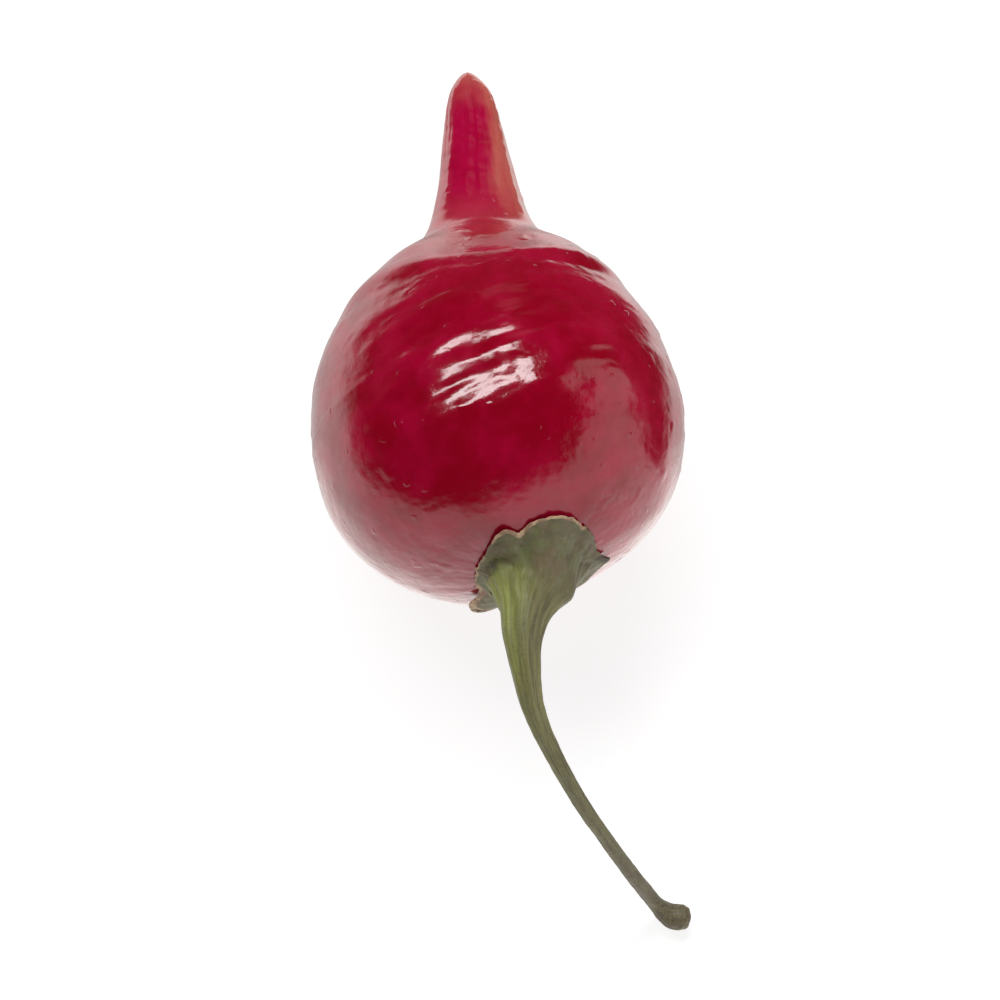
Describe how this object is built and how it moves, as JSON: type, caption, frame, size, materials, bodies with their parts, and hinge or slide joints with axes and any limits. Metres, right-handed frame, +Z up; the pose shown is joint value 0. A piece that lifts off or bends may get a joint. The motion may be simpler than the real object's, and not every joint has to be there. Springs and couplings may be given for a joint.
{
  "type": "chilli pepper",
  "caption": "Small round chilli pepper with a narrow beak, a lobed green calyx and a long curved stem, lying on its side.",
  "frame": {"origin": "on the surface that the pepper lies on, in the patch of skin under the ball of the pod", "axes": "+Y towards the beak, with the stem trailing away towards -Y; +Z up, away from the surface"},
  "size_m": [0.0173, 0.0392, 0.0168],
  "materials": {
    "skin": "glossy waxy crimson skin",
    "calyx": "dull leathery olive green, tan along the rim",
    "stem": "dull fibrous olive green"
  },
  "bodies": {
    "root": {"pod": "skin", "calyx": "calyx", "stem": "stem"}
  },
  "joints": []
}
